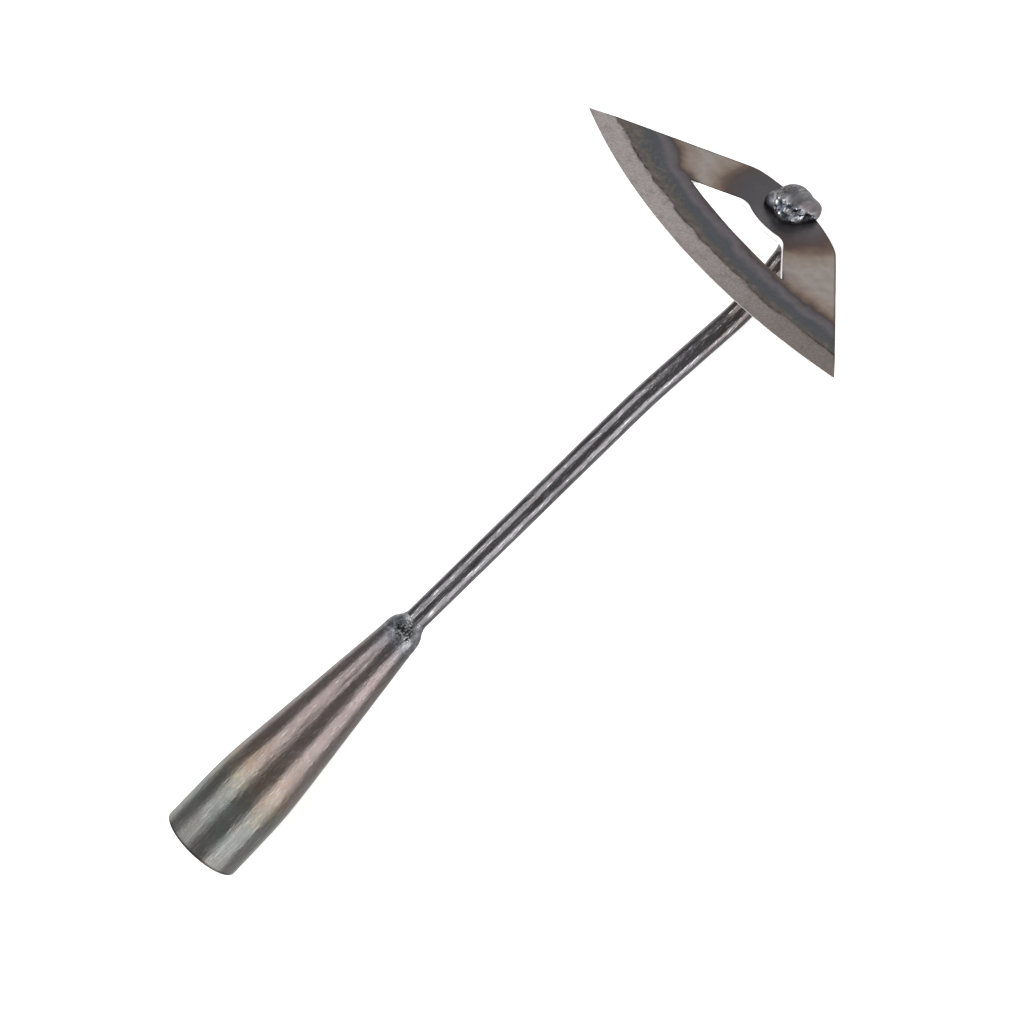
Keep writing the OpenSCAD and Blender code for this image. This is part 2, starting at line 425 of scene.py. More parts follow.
def distance_to_loop(points, loop):
    """Shortest distance from each point to a closed loop of short straight pieces."""
    a, b = loop, np.roll(loop, -1, axis=0)
    span = b - a
    size = (span**2).sum(axis=1) + 1e-12
    best = np.full(len(points), 1e9)
    for begin in range(0, len(points), 1500):
        p = points[begin : begin + 1500, None, :]
        t = np.clip(((p - a) * span).sum(axis=2) / size, 0, 1)
        gap = p - a - t[:, :, None] * span
        best[begin : begin + 1500] = np.sqrt((gap**2).sum(axis=2)).min(axis=1)
    return best


def inside_loop(points, loop):
    a, b = loop, np.roll(loop, -1, axis=0)
    inside = np.zeros(len(points), bool)
    for p, q in zip(a, b):
        crosses = (p[1] > points[:, 1]) != (q[1] > points[:, 1])
        if crosses.any():
            at = p[0] + (points[crosses, 1] - p[1]) * (q[0] - p[0]) / (q[1] - p[1])
            hit = np.zeros(len(points), bool)
            hit[np.flatnonzero(crosses)[points[crosses, 0] < at]] = True
            inside ^= hit
    return inside


def ragged(loop, size, amount, seed):
    """The loop with its cut edge pushed in and out a little, as shearing and grinding leave it."""
    shift = amount * layered_noise(flat_places(loop), size, seed, 3)
    return loop + loop_normals(loop) * shift[:, None]


# ---------------------------------------------------------------- blade mesh


def bevel_width(u):
    """Width of the ground bevel across the blade. Hand grinding leaves it wavy."""
    flat = flat_places(u)
    return BEVEL_W + 0.5 * smooth_noise(flat, 17, 31) + 0.35 * smooth_noise(flat, 5, 32)


def edge_depth(p):
    """Distance from the cutting arc."""
    return EDGE_R - np.hypot(p[:, 0], p[:, 1] - EDGE_C)


def ground_share(p):
    """How far the bevel has come down, from 0 on the flat to 1 at the cutting edge."""
    width = bevel_width(p[:, 0])
    soft = 0.12
    into = soft * np.logaddexp(0, (width - edge_depth(p)) / soft)
    return np.clip(into / width, 0, 1)


def front_height(p):
    """Height of the front face, 0 on the flat, from the plate's own coordinates."""
    depth = edge_depth(p)
    width = bevel_width(p[:, 0])
    ground = -FRONT_GRIND * ground_share(p)
    flat = flat_places(p)
    border = np.exp(-(((depth - width - 0.8) / 1.3) ** 2))
    pits = np.clip(layered_noise(flat, 1.6, 33, 2) - 0.25, 0, 1)
    hammered = 0.02 * smooth_noise(flat, 11, 34) * ramp(depth, 0, 4)
    return ground - 0.08 * border * pits + hammered - 0.02


# Distances from a cut edge at which rows of points carry its rounding
ROUNDING_STEPS = (0.05, 0.12, 0.28, 0.6)


def make_blade():
    outer = ragged(outer_loop(), 6.0, 0.08, 41)
    window = ragged(window_loop(), 4.0, 0.10, 42)
    hole = hole_loop()
    loops = [outer, window, hole]

    def in_steel(points):
        return inside_loop(points, outer) & ~inside_loop(points, window) & ~inside_loop(points, hole)

    def gap_to_edges(points):
        return np.minimum.reduce([distance_to_loop(points, loop) for loop in loops])

    # Rows of points just inside each edge carry the edge's rounding
    rows = []
    for loop in loops[:2]:
        outward = loop_normals(loop)
        if loop is outer:
            inward = -outward if inside_loop(loop[:1] - outward[:1] * 0.2, outer)[0] else outward
        else:
            inward = outward if not inside_loop(loop[:1] + outward[:1] * 0.2, window)[0] else -outward
        for step in ROUNDING_STEPS:
            rows.append(loop + inward * step)
    spacing = 0.8
    us = np.arange(-68, 68, spacing)
    ws = np.arange(-8, 48, spacing * 0.866)
    grid = np.array([(u + (k % 2) * spacing / 2, w) for k, w in enumerate(ws) for u in us])
    fine_u = np.arange(-64, 64, 0.36)
    depths = np.arange(7.2, 12.0, 0.33)
    turn = fine_u / EDGE_R
    fine = []
    for k, d in enumerate(depths):
        across = (EDGE_R - d) * np.sin(turn + 0.0008 * (k % 2))
        fine.append(np.stack([across, EDGE_C + (EDGE_R - d) * np.cos(turn)], axis=1))
    depth = edge_depth(grid)
    grid = grid[(depth < 6.9) | (depth > 12.2)]
    free = np.vstack([grid, *fine])
    free = free[in_steel(free)]
    free = free[gap_to_edges(free) > 0.75]
    extra = np.vstack(rows)
    want = np.concatenate([np.full(len(loop), s) for loop in loops[:2] for s in ROUNDING_STEPS])
    extra = extra[(gap_to_edges(extra) > 0.9 * want) & in_steel(extra)]
    everything = np.vstack([*loops, extra, free])
    edges, base = [], 0
    for loop in loops:
        n = len(loop)
        edges += [(base + i, base + (i + 1) % n) for i in range(n)]
        base += n
    result = geometry.delaunay_2d_cdt([Vector(p) for p in everything], edges, [], 0, 1e-6)
    flat = np.array([tuple(v) for v in result[0]])
    triangles = np.array([tuple(f) for f in result[2]])
    triangles = triangles[in_steel(flat[triangles].mean(axis=1))]
    a, b, c = (flat[triangles[:, i]] for i in range(3))
    area = (b[:, 0] - a[:, 0]) * (c[:, 1] - a[:, 1]) - (b[:, 1] - a[:, 1]) * (c[:, 0] - a[:, 0])
    triangles[area < 0] = triangles[area < 0][:, ::-1]
    # The boundary of the triangles, in order, is where the cut walls stand
    used = {}
    for t in triangles:
        for i in range(3):
            used[(t[i], t[(i + 1) % 3])] = True
    rim_edges = [e for e in used if (e[1], e[0]) not in used]
    gap = gap_to_edges(flat)
    top = front_height(flat)
    back = (BLADE_T - EDGE_T - FRONT_GRIND) * ground_share(flat) - BLADE_T
    thick = top - back
    radius = np.minimum(0.14, 0.35 * thick)
    fall = np.where(gap < radius, radius - np.sqrt(np.clip(radius**2 - (radius - gap) ** 2, 0, None)), 0)
    top = top - fall
    low = back + fall + 0.02
    count = len(flat)
    rim = sorted({v for e in rim_edges for v in e})
    slot = {v: i for i, v in enumerate(rim)}
    wall_rows = [top[rim] * (1 - share) + low[rim] * share for share in (0.06, 0.35, 0.65, 0.94)]
    points = np.vstack(
        [
            on_plate(flat[:, 0], flat[:, 1], top),
            on_plate(flat[:, 0], flat[:, 1], low),
            *[on_plate(flat[rim, 0], flat[rim, 1], row) for row in wall_rows],
        ]
    )
    faces = [tuple(t) for t in triangles.tolist()]
    faces += [tuple(v + count for v in t[::-1]) for t in triangles.tolist()]
    for a, b in rim_edges:
        ia, ib = slot[a], slot[b]
        chain_a = [a] + [2 * count + k * len(rim) + ia for k in range(len(wall_rows))] + [a + count]
        chain_b = [b] + [2 * count + k * len(rim) + ib for k in range(len(wall_rows))] + [b + count]
        for k in range(len(chain_a) - 1):
            faces.append((chain_a[k], chain_a[k + 1], chain_b[k + 1], chain_b[k]))

    def both(values):
        return np.concatenate([values, values] + [values[rim]] * len(wall_rows))

    is_wall = np.zeros(len(points))
    is_wall[2 * count :] = 1
    depth = edge_depth(flat)
    marks = {
        "depth": both(depth),
        "ground": both(bevel_width(flat[:, 0]) - depth),
        "hub_gap": both(np.hypot(flat[:, 0] - 2.5, flat[:, 1])),
        "across": both(flat[:, 0]),
        "window_gap": both(distance_to_loop(flat, window)),
        "outer_gap": both(distance_to_loop(flat, outer)),
        "wall": is_wall,
        "back": np.concatenate([np.zeros(count), np.ones(count), np.zeros(len(points) - 2 * count)]),
    }
    return make_piece("crescent_blade_plate", points, faces, marks)


# ---------------------------------------------------------------- welds


def spot(x, turn, at_x, at_degrees, long_x, wide_degrees):
    """1 at a place on the bead, falling to 0 away from it."""
    apart = np.degrees(np.arccos(np.clip(np.cos(turn - math.radians(at_degrees)), -1, 1)))
    return np.exp(-(((x - at_x) / long_x) ** 2) - (apart / wide_degrees) ** 2)


def make_socket_weld():
    """A lumpy bead that runs from the socket's small end down to the bar."""
    around, rows = 260, 120
    xs = np.linspace(SOCKET_LEN - 4.8, SOCKET_LEN + 10, rows)
    angle = np.linspace(0, 2 * math.pi, around, endpoint=False)
    x, t = np.repeat(xs, around), np.tile(angle, rows)
    seeds = wrap(x, t, 6)
    lumps = layered_noise(seeds, 4.5, 51, 2)
    fine = layered_noise(seeds, 1.4, 53, 2)
    # Its root lies under the cone's surface and comes up through it along a wandering line
    edge = 97.6 + 0.9 * smooth_noise(seeds * [0, 1, 1], 4.0, 54)
    up = ramp(x, edge - 1.5, edge + 0.9)
    cone = socket_radius(np.minimum(x, SOCKET_LEN))
    past_socket = np.maximum(x - SOCKET_LEN, 0)
    slope_down = 3.85 + 2.9 * np.exp(-((past_socket / 5.2) ** 2.6))
    body = np.where(x < SOCKET_LEN, cone, slope_down * TIP_R / 6.75) - 0.35 + 0.39 * up
    # A small gritty patch faces up and a little to the -Y side
    away = (t - math.radians(122)) / math.radians(38)
    patch = 1 - ramp(np.hypot((x - 103.9) / 3.0, away) + 0.5 * layered_noise(seeds, 1.4, 55, 3), 0.6, 1.1)
    grit = grains(seeds, 0.75, 52) - 0.35
    ripples = layered_noise(seeds * [1.0, 0.5, 0.5], 0.7, 56, 2)
    free = up * (1 - ramp(x, 106.6, 108.6))
    knob = spot(x, t, 104.2, 44, 1.3, 22)
    relief = 0.24 * lumps + 0.14 * fine + 0.05 * ripples + 0.26 * patch * grit
    # Dips fade out towards the socket's end, so that the bead covers its rim
    relief = np.maximum(relief, relief * ramp(x, 99.6, 102.4))
    radius = body + free * relief
    radius += free * knob * (0.35 + 0.25 * grit)
    radius = np.where(x > 107.5, radius - 0.5 * ramp(x, 107.5, 109.8), radius)
    # The bead follows the bar, which slopes away from its first corner
    (bend_x, bend_z), (next_x, next_z) = BAR_CORNERS[:2]
    slope = (next_z - bend_z) / (next_x - bend_x)
    stations = [(v, min(0.0, (v - bend_x) * slope), 0.0) for v in xs]
    points, _ = sweep(stations, radius.reshape(rows, around), around)
    points = np.vstack([points, [[xs[0], 0, 0], [xs[-1], 0, stations[-1][1]]]])
    faces = grid_faces(rows, around) + end_faces(rows, around)
    # Painted highlights, as [how bright, along the socket, round it in degrees, half length, half width in
    # degrees]
    painted_highlight_spots = [(0.32, 101.4, 161, 1.5, 16), (1.0, 107.3, 82, 0.9, 24), (0.4, 105.0, 170, 0.9, 14)]
    silver = sum(share * spot(x, t, *place) for share, *place in painted_highlight_spots)
    marks = {
        "gritty": np.append(np.maximum(patch, 0.7 * knob), [0, 0]),
        "root": np.append(1 - ramp(x, edge - 0.2, edge + 2.4), [0, 0]),
        "raised": np.append(grit * patch + 0.4 * fine, [0, 0]),
        "silver": np.append(silver, [0, 0]),
    }
    return make_piece("socket_weld_bead", points, faces, marks)


def ball_directions(rows, around):
    """Directions over a ball: rows of points between two poles, then the poles."""
    polar = np.linspace(0, math.pi, rows + 2)[1:-1]
    turn = np.linspace(0, 2 * math.pi, around, endpoint=False)
    p, t = np.repeat(polar, around), np.tile(turn, rows)
    body = np.stack([np.sin(p) * np.cos(t), np.sin(p) * np.sin(t), np.cos(p)], axis=1)
    directions = np.vstack([body, [[0, 0, 1], [0, 0, -1]]])
    faces = [f[::-1] for f in grid_faces(rows, around)] + end_faces(rows, around, True)
    return directions, faces


def lump_radius(directions, blobs, soften_by):
    """Distance from the middle to the surface of melted-together balls, by marching in from outside."""
    radius = np.full(len(directions), 14.0)
    for _ in range(60):
        p = directions * radius[:, None]
        total = np.zeros(len(p))
        for x, y, z, r in blobs:
            gap = np.sqrt((p[:, 0] - x) ** 2 + (p[:, 1] - y) ** 2 + (p[:, 2] - z) ** 2) - r
            total += np.exp(-gap / soften_by)
        radius += 0.8 * soften_by * np.log(np.maximum(total, 1e-30))
        radius = np.clip(radius, 0.5, 14.0)
    return radius


def make_hub_weld():
    """The tall weld nugget over the bar's end: smooth behind and on top, molten and bright low in front."""
    directions, faces = ball_directions(190, 300)
    middle = np.array([0.4, -0.8, 2.2])
    # Balls that melt into the nugget, as [across, towards the edge, out of the face, radius]
    balls = [
        (1.2, -0.3, 2.6, 5.9),
        (5.3, 3.2, 0.7, 3.4),
        (-3.0, -5.0, 1.5, 3.3),
        (-2.3, -3.3, 0.9, 3.9),
        (-0.5, -2.0, 2.6, 4.4),
        (0.0, 1.0, -1.2, 5.8),
    ]
    blobs = [(*(np.array(b[:3]) - middle), b[3]) for b in balls]
    radius = lump_radius(directions, blobs, 0.55)
    base = directions * radius[:, None]
    lumps = layered_noise(base, 3.4, 61, 2)
    # The molten side is the lower half as the plate is seen from its cutting edge
    low_front = np.array([-0.28, 0.57, -0.76])
    molten = ramp(directions @ low_front + 0.16 * lumps, -0.06, 0.20) * ramp(base[:, 1], -4.6, -3.0)
    molten *= ramp(base[:, 2] + middle[2], 0.4, 1.4)
    # The low lobe beside the dome stays smooth
    beside = (base + middle - [1.2, -0.3, 2.6]) @ np.array([0.58, 0.78, -0.23])
    lobe = ramp(beside, 5.7, 6.3)
    molten *= 1 - lobe
    beads = grains(base, 2.3, 62)
    small = layered_noise(base, 0.9, 63, 2)
    ripple = np.sin(3.0 * (base[:, 2] + 0.3 * base[:, 1]) + 1.2 * lumps)
    radius = radius + 0.22 * lumps
    radius = radius + molten * (0.5 * (beads - 0.45) + 0.16 * small) + 0.03 * (1 - molten) * ripple
    local = directions * radius[:, None] + middle
    # A blow hole low on the -Y side
    hole = np.exp(-((np.linalg.norm(local - np.array([-6.0, -1.2, 1.6]), axis=1) / 0.9) ** 2))
    local -= directions * (1.6 * hole)[:, None]
    local[:, 2] = np.maximum(local[:, 2], -1.2)
    points = on_plate(local[:, 0], local[:, 1], local[:, 2])
    marks = {
        "molten": molten,
        "raised": beads + 0.4 * small,
        "hole": hole,
        "height": local[:, 2],
        "across": local[:, 0],
        "lobe": lobe,
    }
    return make_piece("hub_weld_nugget", points, faces, marks)


def make_back_weld():
    """The fillet bead round the bar on the back of the plate."""
    around, rows = 160, 28
    shares = np.linspace(0, 1, rows)
    angle = np.linspace(0, 2 * math.pi, around, endpoint=False)
    s, t = np.repeat(shares, around), np.tile(angle, rows)
    # A bulging fillet from the bar out to the plate
    depth = 3.3 * np.cos(s * math.pi / 2)
    radius = 3.6 + 3.2 * np.sin(s * math.pi / 2) ** 0.9
    seeds = np.stack([6 * np.cos(t), 6 * np.sin(t), depth], axis=1)
    ripple = np.sin(18 * t + 2.0 * smooth_noise(seeds, 4, 71)) * np.sin(s * math.pi)
    bumps = layered_noise(seeds, 2.6, 72, 2) * np.sin(s * math.pi) ** 0.5
    radius = radius + 0.12 * ripple + 0.25 * bumps
    lean = -0.52 * depth
    u, w, n = radius * np.cos(t), BAR_HOLE_W - 1 + radius * np.sin(t) + lean * (1 - s), -BLADE_T - depth + 0.1
    points = on_plate(u, w, n)
    faces = [f[::-1] for f in grid_faces(rows, around)] + end_faces(rows, around, True)
    points = np.vstack([points, on_plate(0, np.mean(w[:around]), n[0]), on_plate(0, BAR_HOLE_W - 1, n[-1])])
    marks = {"raised": np.append(bumps + 0.3 * ripple, [0, 0])}
    return make_piece("hub_back_weld_bead", points, faces, marks)


# ---------------------------------------------------------------- materials


def as_seen(red, green, blue):
    """A linear colour from the usual 0 to 255 values, all above 10, as it looks in the plain studio."""
    return tuple(((v / 255 + 0.055) / 1.055) ** 2.4 for v in (red, green, blue)) + (1.0,)


class Paint:
    """A node material, built one node at a time."""

    def __init__(self, name):
        self.material = bpy.data.materials.new(name)
        self.material.use_nodes = True
        self.tree = self.material.node_tree
        self.tree.nodes.clear()
        self.out = self.tree.nodes.new("ShaderNodeOutputMaterial")
        self.place = self.node("ShaderNodeTexCoord").outputs["Object"]

    def node(self, kind, inputs=None, **settings):
        made = self.tree.nodes.new(kind)
        for key, value in settings.items():
            setattr(made, key, value)
        for key, value in (inputs or {}).items():
            if isinstance(value, bpy.types.NodeSocket):
                self.tree.links.new(value, made.inputs[key])
            else:
                made.inputs[key].default_value = value
        return made

    def mark(self, name):
        return self.node("ShaderNodeAttribute", attribute_name=name).outputs["Fac"]

    def math(self, operation, a, b=0.0, c=0.0):
        return self.node("ShaderNodeMath", {0: a, 1: b, 2: c}, operation=operation).outputs[0]

    def times(self, a, b):
        return self.math("MULTIPLY", a, b)

    def between(self, value, low, high, to_low=0.0, to_high=1.0):
        inputs = {"Value": value, "From Min": low, "From Max": high, "To Min": to_low, "To Max": to_high}
        return self.node("ShaderNodeMapRange", inputs, interpolation_type="SMOOTHSTEP").outputs[0]

    def noise(self, size, detail=3.0, stretch=(1, 1, 1), roughness=0.55):
        """Noise from 0 to 1 with features of about that size in millimetres, drawn out by stretch."""
        scale = [1 / (size * MM * s) for s in stretch]
        spot = self.node("ShaderNodeMapping", {"Vector": self.place, "Scale": scale}).outputs[0]
        inputs = {"Vector": spot, "Scale": 1.0, "Detail": detail, "Roughness": roughness}
        return self.node("ShaderNodeTexNoise", inputs).outputs["Fac"]

    def colours(self, value, stops):
        """A colour ramp. stops are (place from 0 to 1, red, green, blue)."""
        made = self.node("ShaderNodeValToRGB", {"Fac": value})
        elements = made.color_ramp.elements
        while len(elements) < len(stops):
            elements.new(0.5)
        for element, (place, *colour) in zip(elements, stops):
            element.position = place
            element.color = as_seen(*colour)
        return made.outputs["Color"]

    def mix(self, share, a, b, how="MIX"):
        made = self.node("ShaderNodeMix", {"Factor": share}, data_type="RGBA", blend_type=how)
        for key, value in (("A", a), ("B", b)):
            spot = next(s for s in made.inputs if s.name == key and s.type == "RGBA")
            if isinstance(value, bpy.types.NodeSocket):
                self.tree.links.new(value, spot)
            else:
                spot.default_value = value
        return next(s for s in made.outputs if s.type == "RGBA")

    def bump(self, height, distance, under=None):
        inputs = {"Height": height, "Distance": distance * MM, "Strength": 1.0}
        if under is not None:
            inputs["Normal"] = under
        return self.node("ShaderNodeBump", inputs).outputs[0]

    def steel(self, colour, roughness, normal, metallic=1.0):
        inputs = {"Base Color": colour, "Roughness": roughness, "Metallic": metallic, "Normal": normal}
        shader = self.node("ShaderNodeBsdfPrincipled", inputs)
        self.tree.links.new(shader.outputs[0], self.out.inputs["Surface"])
        return self.material


def socket_material():
    p = Paint("socket_heat_tinted_steel")
    along = p.mark("along")
    warp = p.noise(9, 2, (2.5, 1, 1))
    place = p.math("ADD", along, p.between(warp, 0.3, 0.7, -3.5, 3.5))
    share = p.math("DIVIDE", place, 100.0)
    base = p.colours(
        share,
        [
            (0.00, 115, 115, 113),
            (0.16, 113, 116, 114),
            (0.23, 112, 113, 108),
            (0.29, 120, 115, 106),
            (0.36, 124, 113, 107),
            (0.50, 120, 110, 107),
            (0.80, 119, 109, 108),
            (0.91, 110, 102, 102),
            (0.97, 103, 100, 103),
            (1.00, 98, 97, 101),
        ],
    )
    flecks = p.noise(1.1, 2, (2.5, 1, 1))
    in_straw = p.times(p.between(place, 18, 24), p.between(place, 40, 31))
    straw = p.times(p.between(flecks, 0.50, 0.66), in_straw)
    colour = p.mix(p.times(straw, 0.4), base, as_seen(150, 138, 108))
    brown_place = p.times(p.between(place, 27, 32), p.between(place, 52, 42))
    brown = p.times(p.between(p.noise(5, 3, (2, 1, 1)), 0.46, 0.62), brown_place)
    colour = p.mix(p.times(brown, 0.5), colour, as_seen(126, 103, 90))
    blotch = p.noise(6, 4, (1.6, 1, 1))
    colour = p.mix(p.between(blotch, 0.38, 0.7, 0.0, 0.35), colour, as_seen(98, 89, 86))
    speck = p.noise(0.55, 2)
    colour = p.mix(p.between(speck, 0.60, 0.72, 0.0, 0.55), colour, as_seen(62, 59, 60))
    scratch = p.noise(0.35, 2, (22, 1, 1))
    colour = p.mix(p.between(scratch, 0.58, 0.72, 0.0, 0.45), colour, as_seen(184, 180, 178))
    rim = p.between(along, 1.1, 0.5)
    colour = p.mix(p.times(rim, 0.6), colour, as_seen(66, 64, 66))
    rough = p.between(p.noise(3, 3, (3, 1, 1)), 0.3, 0.7, 0.22, 0.34)
    dents = p.noise(1.6, 3, (3, 1, 1))
    bump = p.bump(scratch, 0.03, p.bump(dents, 0.10))
    outer = p.mark("outer")
    colour = p.mix(p.math("SUBTRACT", 1.0, outer), colour, as_seen(78, 70, 64))
    return p.steel(colour, rough, bump)


def bar_material():
    p = Paint("bar_mill_scale")
    along = p.mark("along")
    blotch = p.noise(7, 4, (3, 1, 1))
    base = p.mix(p.between(blotch, 0.35, 0.65), as_seen(93, 91, 93), as_seen(114, 113, 115))
    base = p.mix(p.between(along, 150, 190, 0.0, 0.3), base, as_seen(86, 82, 84))
    near_blade = p.between(along, 232, 262)
    base = p.mix(p.times(near_blade, 0.6), base, as_seen(80, 68, 66))
    rust = p.noise(2.4, 3, (2.2, 1, 1))
    base = p.mix(p.between(rust, 0.56, 0.70, 0.0, 0.5), base, as_seen(84, 68, 66))
    scratch = p.noise(0.4, 2, (16, 1, 1))
    base = p.mix(p.between(scratch, 0.56, 0.68, 0.0, 0.6), base, as_seen(186, 183, 186))
    speck = p.noise(0.5, 2)
    base = p.mix(p.between(speck, 0.58, 0.70, 0.0, 0.7), base, as_seen(52, 49, 52))
    rough = p.between(p.noise(2.0, 3, (5, 1, 1)), 0.3, 0.7, 0.12, 0.24)
    dents = p.noise(1.2, 4, (5, 1, 1))
    bump = p.bump(scratch, 0.018, p.bump(dents, 0.055))
    return p.steel(base, rough, bump)


def blade_material():
    p = Paint("blade_tempered_steel")
    depth, hub_gap, ground = p.mark("depth"), p.mark("hub_gap"), p.mark("ground")
    warp = p.between(p.noise(7, 3), 0.3, 0.7, -0.9, 0.9)
    # The bands lie nearer the hub by the +Y arm's outer edge, and nearer the cutting edge on the -Y arm
    aside = p.between(p.mark("across"), -3, -12, 0.0, 1.3)
    near_outside = p.times(p.between(p.mark("outer_gap"), 13, 1), p.between(p.mark("across"), 15, 30))
    aside = p.math("SUBTRACT", aside, p.times(near_outside, 3.2))
    place = p.math("DIVIDE", p.math("ADD", p.math("ADD", depth, warp), aside), 50.0)
    band = p.colours(
        place,
        [
            (0.150, 94, 89, 86),
            (0.210, 92, 89, 87),
            (0.232, 82, 84, 87),
            (0.292, 81, 84, 90),
            (0.337, 108, 103, 106),
            (0.372, 99, 93, 97),
            (0.398, 80, 71, 72),
            (0.425, 116, 100, 90),
            (0.470, 148, 135, 126),
            (0.540, 157, 148, 142),
            (1.000, 162, 152, 147),
        ],
    )
    heat_place = p.math("DIVIDE", p.math("ADD", hub_gap, p.between(p.noise(6, 3), 0.3, 0.7, -1.0, 1.0)), 50.0)
    heat_tint_and_shade = p.colours(
        heat_place,
        [
            (0.10, 110, 107, 112),
            (0.22, 103, 100, 103),
            (0.30, 92, 86, 88),
            (0.34, 88, 79, 78),
            (0.38, 90, 75, 70),
            (0.43, 114, 97, 86),
            (0.50, 148, 135, 124),
            (0.58, 158, 149, 143),
            (1.00, 162, 152, 147),
        ],
    )
    in_hub = p.times(p.between(depth, 20.6, 23.6), p.between(hub_gap, 34, 28))
    # Painted shade on the hub's +Y side next to the nugget, laid over the heat tint
    shaded = p.times(p.between(p.mark("across"), 1, 9), p.between(hub_gap, 24, 14))
    heat_tint_and_shade = p.mix(p.times(shaded, 0.8), heat_tint_and_shade, as_seen(80, 77, 81))
    colour = p.mix(in_hub, band, heat_tint_and_shade)
    # Brown and olive scale that thins out away from the bevel
    mottle = p.noise(1.3, 4)
    dirty = p.times(p.between(depth, 17.0, 11.5), p.between(mottle, 0.45, 0.62))
    dirty = p.times(dirty, p.between(p.mark("across"), 5, 32, 0.12, 0.6))
    colour = p.mix(dirty, colour, as_seen(116, 109, 98))
    scale = p.times(p.between(ground, -3.0, -0.6), p.between(p.noise(2.4, 4), 0.42, 0.62))
    colour = p.mix(p.times(scale, 0.55), colour, as_seen(122, 112, 107))
    rust = p.times(p.between(ground, -3.2, -0.8), p.between(p.noise(0.9, 3), 0.53, 0.63))
    colour = p.mix(p.times(rust, 0.3), colour, as_seen(106, 84, 72))
    cloud = p.noise(3.2, 4)
    colour = p.mix(p.between(cloud, 0.35, 0.7, 0.0, 0.18), colour, as_seen(76, 72, 72))
    # The ground bevel, brighter towards the +Y tip, with fine grinding marks across the edge
    across = p.between(p.mark("across"), -62, 24)
    dull = p.mix(across, as_seen(130, 121, 117), as_seen(166, 158, 155))
    bright = p.mix(across, as_seen(150, 141, 137), as_seen(196, 188, 186))
    grinding = p.noise(0.5, 3, (1, 1, 5))
    bevel = p.mix(p.between(grinding, 0.3, 0.7), dull, bright)
    patches = p.noise(4.5, 4)
    bevel = p.mix(p.between(patches, 0.50, 0.72, 0.0, 0.4), bevel, as_seen(126, 115, 111))
    stain = p.times(p.between(ground, 2.2, 0.6), p.between(p.noise(2.5, 3), 0.4, 0.6, 0.1, 0.6))
    bevel = p.mix(stain, bevel, as_seen(120, 111, 107))
    nick = p.noise(0.8, 2)
    bevel = p.mix(p.between(nick, 0.70, 0.78, 0.0, 0.5), bevel, as_seen(96, 86, 82))
    coarse = p.between(p.noise(9, 1), 0.3, 0.7, -1.1, 0.0)
    wander = p.math("ADD", coarse, p.between(p.noise(1.1, 4), 0.3, 0.7, -0.16, 0.16))
    edge_wander = p.math("ADD", ground, wander)
    colour = p.mix(p.between(edge_wander, -0.15, 0.6), colour, bevel)
    # A broken dark line where the bevel starts, thin in places and spread out in others
    line_width = p.between(p.noise(3.4, 2), 0.38, 0.66, 0.06, 0.85)
    line_gap = p.math("DIVIDE", p.math("ABSOLUTE", p.math("ADD", edge_wander, 0.25)), line_width)
    dark_line = p.times(p.between(line_gap, 1.0, 0.3), p.between(p.noise(1.6, 4), 0.48, 0.56))
    # The line shows towards both tips and is almost gone in the middle
    off_middle = p.between(p.math("ABSOLUTE", p.math("ADD", p.mark("across"), 6.0)), 6, 22, 0.15, 0.8)
    colour = p.mix(p.times(dark_line, off_middle), colour, as_seen(74, 65, 61))
    # Thin dark lines along the cut edges
    window_line = p.times(p.between(p.mark("window_gap"), 0.75, 0.35), p.between(depth, 24, 21.5))
    outer_line = p.times(p.between(p.mark("outer_gap"), 0.9, 0.3), p.between(depth, 3, 8))
    lines = p.math("MAXIMUM", window_line, outer_line)
    colour = p.mix(p.times(lines, 0.6), colour, as_seen(66, 60, 60))
    # The cut walls are painted near white: a painted highlight along the cut edges
    wall = p.mark("wall")
    colour = p.mix(p.between(wall, 0.2, 0.8), colour, as_seen(252, 250, 248))
    rough = p.between(ground, -0.2, 0.4, 0.34, 0.46)
    bump = p.bump(grinding, 0.012, p.bump(p.noise(1.0, 3), 0.02))
    return p.steel(colour, rough, bump)


def socket_weld_material():
    p = Paint("weld_socket_bead")
    clean = p.mix(p.between(p.noise(2.2, 3), 0.35, 0.65), as_seen(96, 96, 102), as_seen(130, 130, 135))
    soot = p.between(p.noise(0.9, 4), 0.50, 0.62, 0.0, 0.65)
    clean = p.mix(soot, clean, as_seen(66, 66, 71))
    glint = p.between(p.noise(0.55, 3, (2, 1, 1)), 0.58, 0.68, 0.0, 0.6)
    clean = p.mix(glint, clean, as_seen(182, 182, 187))
    clean = p.mix(p.times(p.mark("root"), 0.8), clean, as_seen(103, 99, 102))
    # Painted highlights on the bead, from the spots placed on it
    silver = p.times(p.mark("silver"), p.between(p.noise(0.7, 3), 0.38, 0.52, 0.35, 1.0))
    clean = p.mix(silver, clean, as_seen(214, 214, 218))
    grit = p.mix(p.between(p.mark("raised"), -0.3, 0.35), as_seen(56, 57, 59), as_seen(168, 170, 172))
    colour = p.mix(p.between(p.mark("gritty"), 0.15, 0.6), clean, grit)
    rough = p.between(p.noise(1.5, 3), 0.3, 0.7, 0.28, 0.42)
    return p.steel(colour, rough, p.bump(p.noise(0.6, 4), 0.12))


def weld_material(name, dark, light):
    p = Paint(name)
    raised = p.mark("raised")
    base = p.mix(p.between(raised, -0.1, 0.5), dark, light)
    spots = p.noise(1.0, 3)
    base = p.mix(p.between(spots, 0.4, 0.65), base, as_seen(96, 96, 102))
    rough = p.between(p.noise(1.5, 3), 0.3, 0.7, 0.22, 0.42)
    bump = p.bump(p.noise(0.5, 3), 0.08)
    return p.steel(base, rough, bump)


